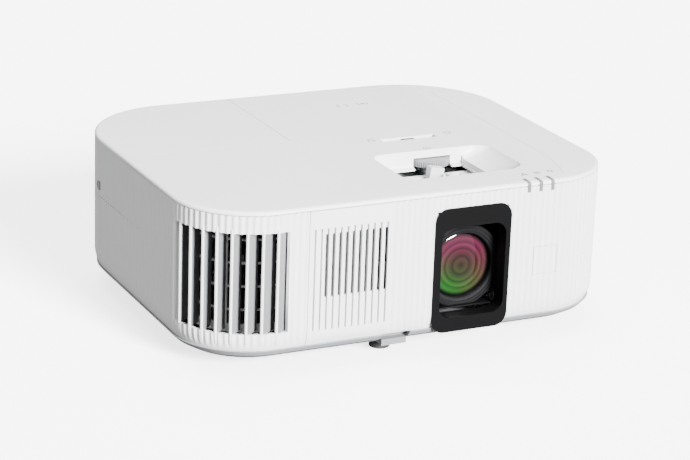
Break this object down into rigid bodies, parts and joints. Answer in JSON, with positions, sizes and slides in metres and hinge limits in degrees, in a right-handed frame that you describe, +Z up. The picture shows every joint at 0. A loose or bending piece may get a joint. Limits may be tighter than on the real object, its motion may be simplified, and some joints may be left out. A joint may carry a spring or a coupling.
{
  "type": "home projector",
  "caption": "Home video projector: a low white ribbed case with a lens right of centre, top lens controls, a louvred exhaust corner and three feet.",
  "frame": {"origin": "on the surface the projector stands on, under the middle of the case", "axes": "-Y is the way the lens looks, +X is to the right of someone facing the lens side, +Z is up"},
  "size_m": [0.333, 0.275, 0.12],
  "materials": {
    "white_plastic": "matte",
    "grey_plastic": "matte",
    "black_plastic": "satin",
    "coated_glass": "polished",
    "clear_glass": "polished",
    "steel": "satin",
    "circuit_board": "satin",
    "rubber": "matte",
    "filter_foam": "matte"
  },
  "bodies": {
    "root": {"base_tray": "white_plastic", "front_panel": "white_plastic", "exhaust_panel": "white_plastic", "exhaust_guard": "white_plastic", "left_panel": "white_plastic", "right_panel": "white_plastic", "rear_panel": "white_plastic", "top_cover": "white_plastic", "filter_element": "filter_foam", "lens_bezel": "black_plastic", "receiver_window": "white_plastic", "receiver_board": "circuit_board", "light_pipes": "grey_plastic", "keystone_board": "circuit_board", "shift_frame": "steel", "ring_deck": "white_plastic", "prism_block": "clear_glass", "lcd_panels": "clear_glass", "engine_housing": "black_plastic", "colour_mirrors": "clear_glass", "integrator_lenses": "clear_glass", "lamp_housing": "black_plastic", "lamp_reflector": "clear_glass", "lamp_ballast": "circuit_board", "power_supply": "circuit_board", "ac_inlet": "black_plastic", "main_board": "circuit_board", "hdmi_sockets": "steel", "usb_sockets": "steel", "wireless_module": "circuit_board", "control_board": "circuit_board", "exhaust_fan_frame": "black_plastic", "intake_fan_frame": "black_plastic", "speaker": "black_plastic", "case_screws": "steel"},
    "lamp_cover": {"lamp_cover": "white_plastic"},
    "lamp_cover_screw": {"lamp_cover_screw": "steel"},
    "filter_cover": {"filter_cover": "white_plastic"},
    "keystone_knob": {"keystone_knob": "black_plastic"},
    "shift_dial": {"shift_dial": "grey_plastic"},
    "lens_carriage": {"lens_carriage": "black_plastic", "lens_barrel": "black_plastic", "rear_lens": "clear_glass"},
    "zoom_ring": {"zoom_ring": "grey_plastic"},
    "focus_ring": {"focus_ring": "grey_plastic"},
    "front_cell": {"front_cell": "black_plastic", "front_glass": "coated_glass"},
    "zoom_group": {"zoom_group": "clear_glass"},
    "power_button": {"power_button": "grey_plastic"},
    "menu_button": {"menu_button": "grey_plastic"},
    "enter_button": {"enter_button": "grey_plastic"},
    "exhaust_fan_rotor": {"exhaust_fan_rotor": "black_plastic"},
    "intake_fan_rotor": {"intake_fan_rotor": "black_plastic"},
    "front_foot": {"front_foot": "steel", "front_foot_pad": "rubber"},
    "foot_lever": {"foot_lever": "grey_plastic"},
    "rear_foot_pad_left": {"rear_foot_pad_left": "rubber"},
    "rear_foot_left": {"rear_foot_left": "black_plastic"},
    "rear_foot_pad_right": {"rear_foot_pad_right": "rubber"},
    "rear_foot_right": {"rear_foot_right": "black_plastic"}
  },
  "joints": [
    {"name": "lamp_cover_slide", "type": "slide", "parent": "root", "child": "lamp_cover", "axis": [-1, 0, 0], "range_m": [0, 0.07]},
    {"name": "lamp_cover_screw_turn", "type": "hinge", "parent": "lamp_cover", "child": "lamp_cover_screw", "pos_m": [-0.16, 0.067, 0.083], "axis": [1, 0, 0], "continuous": true},
    {"name": "filter_cover_slide", "type": "slide", "parent": "root", "child": "filter_cover", "axis": [1, 0, 0], "range_m": [0, 0.03]},
    {"name": "keystone_slide", "type": "slide", "parent": "root", "child": "keystone_knob", "axis": [1, 0, 0], "range_m": [-0.0165, 0.0165]},
    {"name": "shift_dial_turn", "type": "hinge", "parent": "root", "child": "shift_dial", "pos_m": [0.0555, -0.036, 0.11], "axis": [0, 0, 1], "range_deg": [-720, 720]},
    {"name": "lens_shift", "type": "slide", "parent": "root", "child": "lens_carriage", "axis": [0, 0, 1], "range_m": [-0.004, 0.004]},
    {"name": "zoom_turn", "type": "hinge", "parent": "lens_carriage", "child": "zoom_ring", "pos_m": [0.0415, -0.059, 0.057], "axis": [0, 1, 0], "range_deg": [-18, 16]},
    {"name": "zoom_group_slide", "type": "slide", "parent": "lens_carriage", "child": "zoom_group", "axis": [0, 1, 0], "range_m": [-0.0064, 0.0057]},
    {"name": "focus_turn", "type": "hinge", "parent": "lens_carriage", "child": "focus_ring", "pos_m": [0.0415, -0.0715, 0.057], "axis": [0, 1, 0], "range_deg": [-30, 14]},
    {"name": "front_cell_slide", "type": "slide", "parent": "lens_carriage", "child": "front_cell", "axis": [0, -1, 0], "range_m": [-0.00209, 0.00097]},
    {"name": "power_button_press", "type": "slide", "parent": "root", "child": "power_button", "axis": [0, -1, 0], "range_m": [0, 0.001], "stiffness_N_per_m": 400, "springref_m": -0.002},
    {"name": "menu_button_press", "type": "slide", "parent": "root", "child": "menu_button", "axis": [0, -1, 0], "range_m": [0, 0.001], "stiffness_N_per_m": 400, "springref_m": -0.002},
    {"name": "enter_button_press", "type": "slide", "parent": "root", "child": "enter_button", "axis": [0, -1, 0], "range_m": [0, 0.001], "stiffness_N_per_m": 400, "springref_m": -0.002},
    {"name": "exhaust_fan_spin", "type": "hinge", "parent": "root", "child": "exhaust_fan_rotor", "pos_m": [-0.083, -0.106, 0.063], "axis": [0, 1, 0], "continuous": true},
    {"name": "intake_fan_spin", "type": "hinge", "parent": "root", "child": "intake_fan_rotor", "pos_m": [0.143, -0.015, 0.062], "axis": [1, 0, 0], "continuous": true},
    {"name": "front_foot_extend", "type": "slide", "parent": "root", "child": "front_foot", "axis": [0, 0, -1], "range_m": [0, 0.03]},
    {"name": "foot_lever_press", "type": "hinge", "parent": "root", "child": "foot_lever", "pos_m": [-0.01625, -0.1215, 0.0155], "axis": [-1, 0, 0], "range_deg": [0, 12], "stiffness_Nm_per_rad": 0.05, "springref_deg": -14.32},
    {"name": "rear_foot_left_height", "type": "slide", "parent": "root", "child": "rear_foot_pad_left", "axis": [0, 0, -1], "range_m": [0, 0.0076]},
    {"name": "rear_foot_left_turn", "type": "hinge", "parent": "rear_foot_pad_left", "child": "rear_foot_left", "pos_m": [-0.112, 0.0955, 0.007], "axis": [0, 0, 1], "range_deg": [0, 1800]},
    {"name": "rear_foot_right_height", "type": "slide", "parent": "root", "child": "rear_foot_pad_right", "axis": [0, 0, -1], "range_m": [0, 0.0076]},
    {"name": "rear_foot_right_turn", "type": "hinge", "parent": "rear_foot_pad_right", "child": "rear_foot_right", "pos_m": [0.112, 0.0955, 0.007], "axis": [0, 0, 1], "range_deg": [0, 1800]}
  ],
  "couplings": [
    {"joint": "shift_dial_turn", "follows": "lens_shift", "rad_per_m": 3141.5},
    {"joint": "zoom_group_slide", "follows": "zoom_turn", "m_per_rad": 0.02},
    {"joint": "focus_turn", "follows": "front_cell_slide", "rad_per_m": 250},
    {"joint": "rear_foot_left_height", "follows": "rear_foot_left_turn", "m_per_rad": 0.0002387},
    {"joint": "rear_foot_right_height", "follows": "rear_foot_right_turn", "m_per_rad": 0.0002387}
  ]
}
